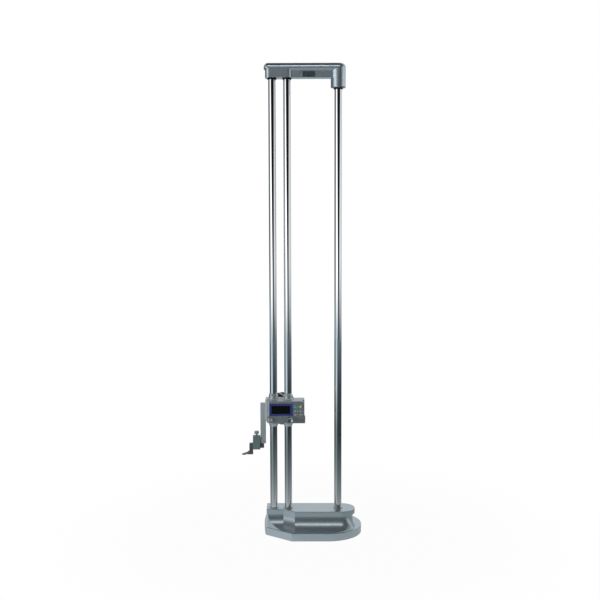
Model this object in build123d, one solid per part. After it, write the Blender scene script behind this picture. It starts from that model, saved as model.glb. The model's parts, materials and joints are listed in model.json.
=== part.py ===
from build123d import *
from math import acos, cos, pi, radians, sin, sqrt, tan
import os

# Digital double-column height gauge with a third, plain support column.
# Units are millimetres. +Z is up, the front faces -Y, and the origin is the
# middle of the lapped underside of the base.

# ---------------------------------------------------------------- general fits
RUNNING_FIT = 0.05          # radial play of shafts and columns in their bushes
SEAT_FIT = 0.02             # radial play of a fixed pin, screw or bush in its hole
FREE_GAP = 0.3              # gap between parts that pass each other

# ---------------------------------------------------------------- base casting
BASE_HEIGHT = 74.0
BASE_DEPTH = 188.0          # front edge to back edge of the foot
BASE_RIGHT = 135.5          # right-hand end of the foot
BASE_LEFT = -136.0          # left-hand end of the foot, at the middle of its bow
LEFT_BOW = 5.0              # how far the left end bows out
FOOT_THICKNESS = 21.5
FOOT_LIP = 2.0              # flat lip outside the cove
FOOT_CORNER = 14.0          # plan radius of the two left-hand corners of the foot
CUT_ANGLE = 37.0            # front-left corner of foot and deck is cut at this angle
FOOT_CUT_X = -58.0          # where that cut starts on the foot's front edge

DECK_THICKNESS = 13.5
DECK_LEFT = -128.0
DECK_RIGHT = 116.0
DECK_DEPTH = 80.0
DECK_CUT_X = -50.0          # where the cut starts on the deck's front edge
NOTCH_WALL = 6.0            # metal left in front of the main column by the cut
EDGE_BREAK = 1.4            # rounding of the casting's edges

NECK_INSET = 6.0            # the neck under the deck stands back by this much
NECK_SIDE_INSET = 3.0       # and by this much at the left end and in the cut
COVE_REACH = 29.0           # how far the cove runs out at its foot
COVE_RADIUS = 40.5
COVE_END_GROWTH = 7.0       # extra reach of the cove at the round right end
COVE_SECTIONS = 6

LAND_WIDTH = 20.0           # lapped land round the underside
CENTRE_LAND = 36.0          # lapped land across the middle
RELIEF_DEPTH = 3.0

# --------------------------------------------------------------------- columns
COLUMN_D = 20.0
COLUMN_Y = -28.0
MAIN_X = -108.0
COLUMN_PITCH = 40.0         # main column to rack column
SUPPORT_X = 69.0
COLUMN_SEAT = 34.0          # depth of the column's seat in the base
COLLAR_D = 26.0
COLLAR_HEIGHT = 2.2
COLLAR_EDGE = 0.6
COLUMN_CHAMFER = 0.8
RACK_X = MAIN_X + COLUMN_PITCH
COLUMN_R = COLUMN_D / 2
COLUMNS_X = (MAIN_X, RACK_X, SUPPORT_X)

COLUMN_SCREW_D = 10.0
COLUMN_SCREW_GRIP = 20.0    # thread in the column
SCREW_HEAD_RATIO = 1.6      # socket-head diameter to thread diameter
SCREW_HEAD_SINK = 4.0       # heads stand above the lapped face by this much
HEX_RATIO = 0.8             # socket across corners to thread diameter

# ----------------------------------------------------------------- top bracket
TOP_HEIGHT = 1285.0
BRACKET_HEIGHT = 39.0
BRACKET_LEFT = -126.0
BRACKET_DEPTH = 40.0        # depth of slab and boss, and the right-hand boss's diameter
PAIR_BOSS_WIDTH = 71.0
ARM_DEPTH = 30.0
SLAB_HEIGHT = 15.0          # full-depth slab along the top, over the recessed arm
SLAB_SLOPE = 5.5            # height of the sloped underside of its edge
SLAB_LIP = 3.5              # how far it overhangs at the left
SUPPORT_BOSS_DROP = 26.0    # the right-hand boss hangs lower than the arm
BRACKET_CORNER = 12.0
BRACKET_TOP_ROUND = 11.0
BRACKET_LOW_ROUND = 2.5
ARM_BLEND = 7.0
BRACKET_CAP = 10.0          # metal above the columns' upper ends
COUNTERBORE_D = 26.0
COUNTERBORE_DEPTH = 6.0
BUMPER_D = 24.0             # rubber bumper rings in the counterbores
BUMPER_PROUD = 3.5
SET_SCREW_D = 6.0
SET_SCREW_SINK = 1.5        # set screws end this far inside the back face
PLATE_WIDTH, PLATE_HEIGHT, PLATE_THICKNESS = 34.0, 15.0, 0.8
PLATE_CORNER = 1.5
PLATE_X = -9.5
PLATE_RECESS = 0.4

# ------------------------------------------------------------ rack and pinion
MODULE = 1.5
PINION_TEETH = 14
PRESSURE_ANGLE = 20.0
RACK_ADDENDUM = 1.2         # stub teeth on the rack, so the small pinion is not undercut
RACK_TIP = 8.5              # rack tips to column axis
RACK_FRONT = 0.6            # the rack is milled only in the rear half of its column
BACKLASH = 0.12             # taken off each flank
PITCH_R = MODULE * PINION_TEETH / 2
RACK_PITCH_LINE = RACK_TIP - RACK_ADDENDUM
PINION_X = RACK_X - RACK_PITCH_LINE - PITCH_R
PINION_WIDTH = 8.0
PINION_FRONT = COLUMN_Y + RACK_FRONT + FREE_GAP
TOOTH_PITCH = pi * MODULE
DEDENDUM = 1.25 * MODULE

# --------------------------------------------------------------------- travel
READING = 223.0             # measured height that the gauge is set to
MAX_READING = 1000.0
SCRIBER_CLEAR = 0.4         # scriber face above the table at reading zero

# --------------------------------------------------------------------- slider
SLIDER_Z = 314.5            # underside of the slider casting
SLIDER_HEIGHT = 66.5
SLIDER_LEFT = -129.5
SLIDER_RIGHT = -52.0
SLIDER_FRONT = -45.0
SLIDER_BACK = -8.0
SLIDER_TOP = SLIDER_Z + SLIDER_HEIGHT
REAR_ROUND = 4.0            # rounding of the slider's upright edges at the back
CORNER_CUT_X, CORNER_CUT_Z = 8.0, 14.0
CHEEK_WIDTH = 5.2           # left-hand cheek that stands forward beside the display
CHEEK_FRONT = -59.0
BUSH_D = 25.0
BUSH_LENGTH = 14.0
CHAMBER_GAP = 1.2           # pinion tips to the wall of their chamber
PINION_Z = 343.0
REAR_BOSS_D = 34.0
REAR_BOSS_BACK = 6.0

CONE_D = 26.0
CONE_TIP_D = 21.6
CONE_TAPER = 7.0            # height of the conical part
CONE_SKIRT = 8.0            # plain part under it, above the slider
LOWER_CONE_SKIRT = 3.0      # the same below the slider
FELT_THICKNESS = 3.0
FELT_D = 23.4

SHAFT_D = 8.0
SHAFT_FRONT = -52.0
SHAFT_BUSH_D = 14.0
SHAFT_BUSH_LENGTH = 8.0
SHAFT_CHAMFER = 0.6
SHAFT_END = 1.5             # shaft left standing out of its nut
SHAFT_COLLAR_D = 12.8
DISC_D, DISC_THICKNESS, DISC_HUB_D = 26.0, 1.0, 13.0    # encoder disc on the shaft

# ----------------------------------------------------------------- hand wheel
WHEEL_D = 91.0
WHEEL_WIDTH = 13.0
WHEEL_FRONT = 15.0
WHEEL_HUB_D = 26.0
WHEEL_WEB = 4.0
WHEEL_RIM = 9.0
WHEEL_EASE = 2.8            # bevel of the rim's outer edges
GRIP_COUNT = 18
GRIP_R = 5.0
GRIP_DEPTH = 1.4
NUT_ACROSS = 13.0
NUT_HEIGHT = 5.0
NUT_DOME = 3.0              # domed part beyond the hexagon
NUT_DOME_ROUND = 2.0

# --------------------------------------------------------------- display unit
DISPLAY_LEFT = -124.0
DISPLAY_WIDTH = 101.0
DISPLAY_LOW = 320.0
DISPLAY_HIGH = 380.0
DISPLAY_FRONT = -65.0
DISPLAY_SPLIT = -48.0       # joint between front and rear housings
DISPLAY_BACK = -12.0
DISPLAY_WALL = 2.2
DISPLAY_ROUND = 3.0
DISPLAY_SHOULDER = 8.0      # larger rounding at the upper right
DISPLAY_TEMPLE = 5.5        # rounding of the upright edge at the front left
DISPLAY_EDGE = 1.2          # bevel of the front's top and bottom edges
CHIN_TOP = 339.0
CHIN_SLOPE = 5.0            # height of the slope from the face down to the chin
CHIN_DEPTH = 4.0
CHIN_WIDER = 2.2
LCD_LEFT, LCD_RIGHT = -118.4, -54.6
LCD_LOW, LCD_HIGH = 339.8, 373.4
LCD_CORNER = 0.8
LCD_RECESS = 1.0
LCD_FRAME_THICKNESS = 1.4
WINDOW_LEFT, WINDOW_RIGHT = -112.6, -61.4
WINDOW_LOW, WINDOW_HIGH = 345.2, 367.6
WINDOW_THICKNESS = 1.2
PANEL_THICKNESS = 2.5
KEY_D = 8.0
KEY_PROUD = 1.3
KEY_FLANGE = 0.8
KEY_FLANGE_THICKNESS = 0.9
KEY_TRAVEL = 0.8
KEY_COLUMNS = (-47.5, -33.5)
KEY_ROWS = (365.0, 352.4, 343.4)
LOWER_KEY_D = 5.6
KEY_EDGE = 0.5
BOARD_THICKNESS = 1.6
BOARD_Y = -54.5
SWITCH_SIDE = 6.0
BATTERY_D, BATTERY_THICKNESS = 20.0, 3.2
BATTERY_X, BATTERY_Z = -36.0, 351.0

# ------------------------------------------------------------ clamps on slider
CLAMP_X, CLAMP_Z = -62.0, 332.0
CLAMP_KNOB_D = 16.0
CLAMP_KNOB_LENGTH = 15.0
CLAMP_SCREW_D = 6.0
SHOE_THICKNESS = 3.0
LOCK_X, LOCK_Z = -112.5, 331.0
LOCK_HEAD_D = 8.0
LOCK_HEAD_LENGTH = 7.0
LOCK_SCREW_D = 4.0
LOCK_SCREW_GRIP = 3.0       # thread in the slider
LOCK_RIDGES = 16
LOCK_EASE = 0.5
RIDGE_DEPTH = 0.5           # grooves of the knurled heads
LEVER_X, LEVER_Z = -60.0, 372.0
LEVER_EYE_D = 9.0
LEVER_LENGTH = 34.0
LEVER_THICKNESS = 4.5
LEVER_ANGLE = 31.0          # handle above the horizontal when slack
LEVER_EASE = 0.8            # the handle is thinner than the eye by this on each face
LEVER_TIP_D = 3.2
LEVER_BALL_D = 6.4
LEVER_STUD_D = 5.0
LEVER_STUD_GRIP = 8.0
LUG_D = 13.0
LUG_HEIGHT = 2.0

# ------------------------------------------------------------- jaw and scriber
JAW_WIDTH = 14.5
JAW_DEPTH = 12.0
JAW_TOP = 368.5
JAW_LOW = 256.5
JAW_FOOT_HEIGHT = 12.5
JAW_SCREW_D = 5.0
CLAMP_BOX_WIDTH = 20.0
CLAMP_BOX_WALL = 4.0
CLAMP_BOX_TOP = 277.0
CLAMP_BOX_FLOOR = 3.4
SCRIBER_HEIGHT = 13.0
SCRIBER_DEPTH = 9.0
SCRIBER_TAIL = 10.5
SCRIBER_UPRIGHT = 10.0
SCRIBER_NOSE = 20.5
TIP_HEIGHT = 1.8
TIP_LENGTH = 10.0
THUMB_D = 12.5
THUMB_HEIGHT = 8.0
THUMB_NECK = 5.0
THUMB_SCREW_D = 5.0
THUMB_RIDGES = 20
THUMB_EASE = 1.2            # bevel of the thumb screw's head


# ------------------------------------------------------------ building blocks
LOW = (Align.CENTER, Align.CENTER, Align.MIN)


def block(x, y, z):
    """Box between two values along each axis."""
    size = Box(x[1] - x[0], y[1] - y[0], z[1] - z[0])
    return Pos(sum(x) / 2, sum(y) / 2, sum(z) / 2) * size


def upright(radius, low, high, x, y=COLUMN_Y):
    """Round bar standing along Z."""
    return Pos(x, y, low) * Cylinder(radius, high - low, align=LOW)


def lengthwise(radius, front, back, x, z):
    """Round bar lying along Y, from front to back."""
    return Pos(x, front, z) * Rot(-90, 0, 0) * Cylinder(radius, back - front, align=LOW)


def crosswise(radius, left, right, y, z):
    """Round bar lying along X, from left to right."""
    return Pos(left, y, z) * Rot(0, 90, 0) * Cylinder(radius, right - left, align=LOW)


def front_shape(points, front, back):
    """Outline drawn in X and Z, given thickness from front to back."""
    face = make_face(Polyline([(x, z) for x, z in points], close=True))
    placed = Plane(origin=(0, back, 0), x_dir=(1, 0, 0), z_dir=(0, -1, 0)) * face
    return extrude(placed, back - front, dir=(0, -1, 0))


def side_shape(points, left, right):
    """Outline drawn in Y and Z, given width from left to right."""
    face = make_face(Polyline([(y, z) for y, z in points], close=True))
    return extrude(Plane.YZ.offset(left) * face, right - left)


def socket_screw(diameter, grip):
    """Socket-head screw along +Z, with its head below zero."""
    head_d = SCREW_HEAD_RATIO * diameter
    head = Pos(0, 0, -diameter) * Cylinder(head_d / 2, diameter, align=LOW)
    socket = Pos(0, 0, -diameter) * extrude(RegularPolygon(HEX_RATIO * diameter / 2, 6), diameter / 2)
    return head + Cylinder(diameter / 2, grip, align=LOW) - socket


def knurled(radius, length, ridges, depth, ease):
    """Round grip along +Z with bevelled ends and a ring of shallow grooves."""
    body = chamfer(Cylinder(radius, length, align=LOW).edges(), ease)
    groove = Cylinder(depth, length, align=LOW)
    return body - [loc * groove for loc in PolarLocations(radius + depth / 2, ridges)]


def save(node, shape):
    """Write one node as a STEP file."""
    export_step(shape, f"parts/{node}.step")


# ---------------------------------------------------------------- base casting
DECK_TOP = BASE_HEIGHT
DECK_UNDER = BASE_HEIGHT - DECK_THICKNESS
DECK_FRONT = COLUMN_Y - DECK_DEPTH / 2
NOTCH_Y = COLUMN_Y - COLUMN_R - NOTCH_WALL
NOTCH_X = DECK_CUT_X - (NOTCH_Y - DECK_FRONT) / tan(radians(CUT_ANGLE))
SCREW_SEAT = BASE_HEIGHT - COLUMN_SEAT


def foot_outline():
    """Foot in plan: round right end, bowed left end, front-left corner cut off."""
    half = BASE_DEPTH / 2
    round_x = BASE_RIGHT - half
    left_x = BASE_LEFT + LEFT_BOW
    cut_y = -half + (FOOT_CUT_X - left_x) * tan(radians(CUT_ANGLE))
    edges = [
        Line((FOOT_CUT_X, -half), (round_x, -half)),
        ThreePointArc((round_x, -half), (BASE_RIGHT, 0), (round_x, half)),
        Line((round_x, half), (left_x, half)),
        ThreePointArc((left_x, half), (BASE_LEFT, (half + cut_y) / 2), (left_x, cut_y)),
        Line((left_x, cut_y), (FOOT_CUT_X, -half)),
    ]
    face = make_face(edges)
    corners = [v for v in face.vertices() if v.X < left_x + 1]
    return fillet(corners, FOOT_CORNER)


def deck_outline():
    """Deck in plan: round right end, notched at the front left beside the main column."""
    half = DECK_DEPTH / 2
    round_x = DECK_RIGHT - half
    back = COLUMN_Y + half
    edges = [
        Line((DECK_LEFT, NOTCH_Y), (NOTCH_X, NOTCH_Y)),
        Line((NOTCH_X, NOTCH_Y), (DECK_CUT_X, DECK_FRONT)),
        Line((DECK_CUT_X, DECK_FRONT), (round_x, DECK_FRONT)),
        ThreePointArc((round_x, DECK_FRONT), (DECK_RIGHT, COLUMN_Y), (round_x, back)),
        Line((round_x, back), (DECK_LEFT, back)),
        Line((DECK_LEFT, back), (DECK_LEFT, NOTCH_Y)),
    ]
    return make_face(edges)


def neck_section(drop):
    """Neck in plan at a distance below the deck; the cove carries its sides outwards."""
    reach = COVE_RADIUS - sqrt(COVE_RADIUS ** 2 - drop ** 2)
    half = DECK_DEPTH / 2 - NECK_INSET + reach
    end_r = DECK_DEPTH / 2 - NECK_INSET + COVE_END_GROWTH * reach / COVE_REACH
    round_x = DECK_RIGHT - DECK_DEPTH / 2
    left = DECK_LEFT + NECK_SIDE_INSET
    notch = NOTCH_Y + NECK_SIDE_INSET - reach
    front, back = COLUMN_Y - half, COLUMN_Y + half
    edges = [
        Line((left, notch), (NOTCH_X, notch)),
        Line((NOTCH_X, notch), (DECK_CUT_X, front)),
        Line((DECK_CUT_X, front), (round_x, front)),
        EllipticalCenterArc((round_x, COLUMN_Y), end_r, half, start_angle=-90, arc_size=90),
        EllipticalCenterArc((round_x, COLUMN_Y), end_r, half, start_angle=0, arc_size=90),
        Line((round_x, back), (left, back)),
        Line((left, back), (left, notch)),
    ]
    return Pos(0, 0, DECK_UNDER - drop) * make_face(edges)


def base_casting():
    """Cast foot, coved neck and deck, bored for the columns and relieved underneath."""
    outline = foot_outline()
    foot = extrude(outline, FOOT_THICKNESS)
    foot = fillet(foot.faces().sort_by(Axis.Z)[-1].edges(), EDGE_BREAK)
    deck = Pos(0, 0, DECK_UNDER) * extrude(deck_outline(), DECK_THICKNESS)
    deck = fillet(deck.faces().sort_by(Axis.Z)[-1].edges(), EDGE_BREAK)
    depth = DECK_UNDER - FOOT_THICKNESS
    drops = [depth * sin(radians(90 * i / (COVE_SECTIONS - 1))) for i in range(COVE_SECTIONS)]
    neck = loft([neck_section(drop) for drop in drops])
    inner = Pos(0, 0, FOOT_THICKNESS) * extrude(offset(outline, -FOOT_LIP), depth)
    body = foot + (neck & inner) + deck
    pocket = offset(outline, -LAND_WIDTH)
    middle = Rectangle(CENTRE_LAND, BASE_DEPTH)
    body -= extrude(pocket - middle, RELIEF_DEPTH)
    head = SCREW_HEAD_RATIO * COLUMN_SCREW_D / 2 + 1
    for x in COLUMNS_X:
        body -= upright(head, 0, SCREW_HEAD_SINK + COLUMN_SCREW_D, x)
        body -= upright(COLUMN_SCREW_D / 2 + FREE_GAP, 0, SCREW_SEAT, x)
        body -= upright(COLUMN_R + SEAT_FIT, SCREW_SEAT, BASE_HEIGHT, x)
    return body


def column_screws():
    """Long screws that draw the columns down into the base."""
    low = SCREW_HEAD_SINK + COLUMN_SCREW_D
    screw = socket_screw(COLUMN_SCREW_D, SCREW_SEAT - low + COLUMN_SCREW_GRIP)
    return Compound([Pos(x, COLUMN_Y, low) * screw for x in COLUMNS_X])


def foot_collars():
    """Thin collars that cover the joint between column and deck."""
    ring = Cylinder(COLLAR_D / 2, COLLAR_HEIGHT, align=LOW)
    ring = chamfer(ring.edges().sort_by(Axis.Z)[-1], COLLAR_EDGE)
    ring -= Cylinder(COLUMN_R + SEAT_FIT, COLLAR_HEIGHT, align=LOW)
    return Compound([Pos(x, COLUMN_Y, DECK_TOP) * ring for x in COLUMNS_X])


# --------------------------------------------------------------------- columns
COLUMN_LOW = SCREW_SEAT
COLUMN_HIGH = TOP_HEIGHT - BRACKET_CAP
DOWN_TRAVEL = READING
UP_TRAVEL = MAX_READING - READING


def plain_column(x):
    """Ground round column, tapped at its lower end."""
    bar = upright(COLUMN_R, COLUMN_LOW, COLUMN_HIGH, x)
    bar = chamfer(bar.edges(), COLUMN_CHAMFER)
    tapped = COLUMN_SCREW_GRIP + COLUMN_SCREW_D / 2
    return bar - upright(COLUMN_SCREW_D / 2 + SEAT_FIT, COLUMN_LOW, COLUMN_LOW + tapped, x)


def rack_profile():
    """Cutter outline for the rack: everything outside its teeth, in X and Z."""
    slope = tan(radians(PRESSURE_ANGLE))
    tip_x = RACK_X - RACK_TIP
    root_x = RACK_X - RACK_PITCH_LINE + DEDENDUM
    half_pitch_gap = TOOTH_PITCH / 4 + BACKLASH / 2
    half_tip_gap = half_pitch_gap + RACK_ADDENDUM * slope
    half_root_gap = half_pitch_gap - DEDENDUM * slope
    spare = 2
    below = int(DOWN_TRAVEL / TOOTH_PITCH) + spare
    above = int(UP_TRAVEL / TOOTH_PITCH) + spare
    outside = RACK_X - COLUMN_R - 1
    points = [(outside, PINION_Z - (below + 0.5) * TOOTH_PITCH)]
    points.append((tip_x, points[0][1]))
    for count in range(-below, above + 1):
        middle = PINION_Z + count * TOOTH_PITCH
        points.append((tip_x, middle - half_tip_gap))
        points.append((root_x, middle - half_root_gap))
        points.append((root_x, middle + half_root_gap))
        points.append((tip_x, middle + half_tip_gap))
    points.append((tip_x, PINION_Z + (above + 0.5) * TOOTH_PITCH))
    points.append((outside, points[-1][1]))
    return points


def rack_column():
    """Column with rack teeth milled along the inner side of its rear half."""
    front = COLUMN_Y + RACK_FRONT
    return plain_column(RACK_X) - front_shape(rack_profile(), front, COLUMN_Y + COLUMN_R + 1)


# ----------------------------------------------------------------- top bracket
BRACKET_UNDER = TOP_HEIGHT - BRACKET_HEIGHT
SLAB_UNDER = TOP_HEIGHT - SLAB_HEIGHT
BRACKET_BACK = COLUMN_Y + BRACKET_DEPTH / 2
PAIR_BOSS_X = BRACKET_LEFT + PAIR_BOSS_WIDTH / 2
ARM_FRONT = COLUMN_Y - ARM_DEPTH / 2
SET_SCREW_Z = (BRACKET_UNDER + SLAB_UNDER) / 2


def bracket_outline():
    """Lower part in plan: boss for the column pair, narrower arm, round right-hand boss."""
    boss = RectangleRounded(PAIR_BOSS_WIDTH, BRACKET_DEPTH, BRACKET_CORNER)
    boss = Pos(PAIR_BOSS_X, COLUMN_Y) * boss
    arm = Pos((PAIR_BOSS_X + SUPPORT_X) / 2, COLUMN_Y) * Rectangle(SUPPORT_X - PAIR_BOSS_X, ARM_DEPTH)
    round_boss = Pos(SUPPORT_X, COLUMN_Y) * Circle(BRACKET_DEPTH / 2)
    face = (boss + arm + round_boss).face()
    inner = [v for v in face.vertices() if abs(abs(v.Y - COLUMN_Y) - ARM_DEPTH / 2) < 0.01]
    return fillet(inner, ARM_BLEND)


def slab_outline():
    """Top slab in plan: as deep as the bosses all along, and longer at the left."""
    head = RectangleRounded(PAIR_BOSS_WIDTH + SLAB_LIP, BRACKET_DEPTH, BRACKET_CORNER)
    head = Pos(PAIR_BOSS_X - SLAB_LIP / 2, COLUMN_Y) * head
    run = Rectangle(SUPPORT_X - PAIR_BOSS_X, BRACKET_DEPTH)
    run = Pos((PAIR_BOSS_X + SUPPORT_X) / 2, COLUMN_Y) * run
    return (head + run + Pos(SUPPORT_X, COLUMN_Y) * Circle(BRACKET_DEPTH / 2)).face()


def column_low_face(x):
    """Level of the bracket's underside at a column; the right-hand boss hangs lower."""
    return BRACKET_UNDER - (SUPPORT_BOSS_DROP if x == SUPPORT_X else 0)


def top_bracket():
    """Cast bracket that ties the three column heads together."""
    body = Pos(0, 0, BRACKET_UNDER) * extrude(bracket_outline(), BRACKET_HEIGHT - SLAB_HEIGHT)
    slab = Pos(0, 0, SLAB_UNDER) * extrude(slab_outline(), SLAB_HEIGHT)
    slab = fillet(slab.faces().sort_by(Axis.Z)[-1].edges(), BRACKET_TOP_ROUND)
    slope = Pos(0, 0, SLAB_UNDER) * extrude(slab_outline(), -SLAB_SLOPE, taper=45)
    low = column_low_face(SUPPORT_X)
    hanging = upright(BRACKET_DEPTH / 2, low, SLAB_UNDER, SUPPORT_X)
    hanging = fillet(hanging.edges().sort_by(Axis.Z)[0], BRACKET_LOW_ROUND)
    body += slab + slope + hanging
    for x in COLUMNS_X:
        under = column_low_face(x)
        body -= upright(COLUMN_R + SEAT_FIT, under, COLUMN_HIGH, x)
        body -= upright(COUNTERBORE_D / 2, under, under + COUNTERBORE_DEPTH, x)
        body -= lengthwise(SET_SCREW_D / 2 + SEAT_FIT, COLUMN_Y, BRACKET_BACK + 1, x, SET_SCREW_Z)
    return body - name_plate_shape(PLATE_RECESS, 0)


def column_bumpers():
    """Rubber rings in the counterbores, round the column heads."""
    ring = Cylinder(BUMPER_D / 2, BUMPER_PROUD + COUNTERBORE_DEPTH, align=LOW)
    ring -= Cylinder(COLUMN_R + SEAT_FIT, BUMPER_PROUD + COUNTERBORE_DEPTH, align=LOW)
    return Compound([Pos(x, COLUMN_Y, column_low_face(x) - BUMPER_PROUD) * ring for x in COLUMNS_X])


def set_screws():
    """Grub screws that hold the column heads, in the back of the bracket."""
    back = BRACKET_BACK - SET_SCREW_SINK
    depth = SET_SCREW_D / 2
    hexagon = Rot(-90, 0, 0) * extrude(RegularPolygon(HEX_RATIO * SET_SCREW_D / 2, 6), depth)
    screws = []
    for x in COLUMNS_X:
        screw = lengthwise(SET_SCREW_D / 2, COLUMN_Y + COLUMN_R, back, x, SET_SCREW_Z)
        screws.append(screw - Pos(x, back - depth, SET_SCREW_Z) * hexagon)
    return Compound(screws)


def name_plate_shape(sink, proud):
    """Blank plate on the front of the arm."""
    middle = (BRACKET_UNDER + SLAB_UNDER - SLAB_SLOPE) / 2
    face = Plane(origin=(PLATE_X, ARM_FRONT - proud, middle), x_dir=(1, 0, 0), z_dir=(0, 1, 0))
    return extrude(face * RectangleRounded(PLATE_WIDTH, PLATE_HEIGHT, PLATE_CORNER), sink + proud)


def name_plate():
    """The plate itself, let slightly into the arm."""
    return name_plate_shape(PLATE_RECESS, PLATE_THICKNESS - PLATE_RECESS)


# --------------------------------------------------------------------- slider
PAIR_X = (MAIN_X, RACK_X)
BUSH_LEVELS = (SLIDER_Z, SLIDER_TOP - BUSH_LENGTH)
CHAMBER_R = PITCH_R + MODULE + CHAMBER_GAP
CHAMBER_Y = (PINION_FRONT - 1, PINION_FRONT + PINION_WIDTH + 1)
SHAFT_BUSHES = (SLIDER_FRONT, SLIDER_BACK + REAR_BOSS_BACK)
LUG_BACK = SLIDER_BACK + LUG_HEIGHT
STUD_END = SLIDER_BACK - LEVER_STUD_GRIP


def slider_body():
    """Slider casting: column bores, pinion chamber, rear bearing boss and lever lug."""
    left, low = SLIDER_LEFT, SLIDER_Z
    outline = [
        (left + CORNER_CUT_X, low), (SLIDER_RIGHT, low), (SLIDER_RIGHT, SLIDER_TOP),
        (left, SLIDER_TOP), (left, low + CORNER_CUT_Z),
    ]
    body = front_shape(outline, SLIDER_FRONT, SLIDER_BACK)
    rear = body.edges().filter_by(Axis.Z).sort_by(Axis.Y)[-2:]
    body = fillet(rear, REAR_ROUND)
    strip = block((left, left + CHEEK_WIDTH), (CHEEK_FRONT, SLIDER_FRONT), (low, SLIDER_TOP))
    body += front_shape(outline, CHEEK_FRONT, SLIDER_FRONT) & strip
    body += lengthwise(REAR_BOSS_D / 2, SLIDER_BACK, SLIDER_BACK + REAR_BOSS_BACK, PINION_X, PINION_Z)
    body += lengthwise(LUG_D / 2, SLIDER_BACK - REAR_ROUND, LUG_BACK, LEVER_X, LEVER_Z)
    for x in PAIR_X:
        body -= upright(COLUMN_R + 2 * FREE_GAP, low, SLIDER_TOP, x)
        for level in BUSH_LEVELS:
            body -= upright(BUSH_D / 2 + SEAT_FIT, level, level + BUSH_LENGTH, x)
    body -= lengthwise(CHAMBER_R, *CHAMBER_Y, PINION_X, PINION_Z)
    body -= lengthwise(SHAFT_D / 2 + 1, SLIDER_FRONT, SLIDER_BACK + REAR_BOSS_BACK, PINION_X, PINION_Z)
    for edge, inward in zip(SHAFT_BUSHES, (1, -1)):
        span = sorted((edge, edge + inward * SHAFT_BUSH_LENGTH))
        body -= lengthwise(SHAFT_BUSH_D / 2 + SEAT_FIT, *span, PINION_X, PINION_Z)
    body -= lengthwise(CLAMP_SCREW_D / 2 + FREE_GAP, SLIDER_FRONT, COLUMN_Y, CLAMP_X, CLAMP_Z)
    body -= lengthwise(LOCK_SCREW_D / 2 + FREE_GAP, SLIDER_FRONT, COLUMN_Y, LOCK_X, LOCK_Z)
    body -= lengthwise(LEVER_STUD_D / 2 + SEAT_FIT, STUD_END, LUG_BACK, LEVER_X, LEVER_Z)
    for z in JAW_SCREW_LEVELS:
        body -= crosswise(JAW_SCREW_D / 2 + SEAT_FIT, left, left + JAW_SCREW_GRIP, COLUMN_Y, z)
    return body


def guide_bushes():
    """Bronze bushes that run on the two columns."""
    ring = Cylinder(BUSH_D / 2, BUSH_LENGTH, align=LOW)
    ring -= Cylinder(COLUMN_R + RUNNING_FIT, BUSH_LENGTH, align=LOW)
    cut = lengthwise(CHAMBER_R, *CHAMBER_Y, PINION_X, PINION_Z)
    return Compound([Pos(x, COLUMN_Y, z) * ring - cut for x in PAIR_X for z in BUSH_LEVELS])


def wiper_cone(skirt):
    """Wiper housing: plain skirt on the slider, conical end, and a felt seat inside."""
    cone = Cylinder(CONE_D / 2, skirt, align=LOW)
    cone += Pos(0, 0, skirt) * Cone(CONE_D / 2, CONE_TIP_D / 2, CONE_TAPER, align=LOW)
    cone -= Cylinder(COLUMN_R + FREE_GAP, skirt + CONE_TAPER, align=LOW)
    return cone - Cylinder(FELT_D / 2 + SEAT_FIT, FELT_THICKNESS, align=LOW)


def wiper_cones():
    """Four wiper housings, above and below both bores."""
    upper, lower = wiper_cone(CONE_SKIRT), wiper_cone(LOWER_CONE_SKIRT)
    cones = [Pos(x, COLUMN_Y, SLIDER_TOP) * upper for x in PAIR_X]
    cones += [Pos(x, COLUMN_Y, SLIDER_Z) * Rot(180, 0, 0) * lower for x in PAIR_X]
    return Compound(cones)


def wiper_felts():
    """Oiled felt rings inside the wiper housings."""
    felt = Cylinder(FELT_D / 2, FELT_THICKNESS, align=LOW)
    felt -= Cylinder(COLUMN_R + RUNNING_FIT, FELT_THICKNESS, align=LOW)
    levels = (SLIDER_TOP, SLIDER_Z - FELT_THICKNESS)
    return Compound([Pos(x, COLUMN_Y, z) * felt for x in PAIR_X for z in levels])


def shaft_bushes():
    """Two plain bearings of the pinion shaft."""
    ring = Cylinder(SHAFT_BUSH_D / 2, SHAFT_BUSH_LENGTH, align=LOW)
    ring -= Cylinder(SHAFT_D / 2 + RUNNING_FIT, SHAFT_BUSH_LENGTH, align=LOW)
    starts = (SHAFT_BUSHES[0], SHAFT_BUSHES[1] - SHAFT_BUSH_LENGTH)
    return Compound([Pos(PINION_X, y, PINION_Z) * Rot(-90, 0, 0) * ring for y in starts])


# --------------------------------------------------------- pinion, shaft, wheel
def involute(radius):
    """Involute function of the pinion's flank at a radius."""
    angle = acos(min(1.0, PITCH_R * cos(radians(PRESSURE_ANGLE)) / radius))
    return tan(angle) - angle


def pinion_outline():
    """Spur pinion in plan, one tooth pointing along +X at the rack."""
    base_r = PITCH_R * cos(radians(PRESSURE_ANGLE))
    tip_r = PITCH_R + MODULE
    root_r = PITCH_R - DEDENDUM
    steps = 4
    radii = [base_r + (tip_r - base_r) * i / steps for i in range(steps + 1)]
    half = pi / (2 * PINION_TEETH) - BACKLASH / (2 * PITCH_R) + involute(PITCH_R)
    flank = [(root_r, half)] + [(r, half - involute(r)) for r in radii]
    points = []
    for tooth in range(PINION_TEETH):
        middle = 2 * pi * tooth / PINION_TEETH
        points += [(r, middle - a) for r, a in flank]
        points += [(r, middle + a) for r, a in reversed(flank)]
    return make_face(Polyline([(r * cos(a), r * sin(a)) for r, a in points], close=True))


def drive_pinion():
    """Spur pinion that climbs the rack."""
    gear = extrude(pinion_outline(), PINION_WIDTH)
    gear -= Cylinder(SHAFT_D / 2 + SEAT_FIT, PINION_WIDTH, align=LOW)
    return Pos(PINION_X, PINION_FRONT + PINION_WIDTH, PINION_Z) * Rot(90, 0, 0) * gear


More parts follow.
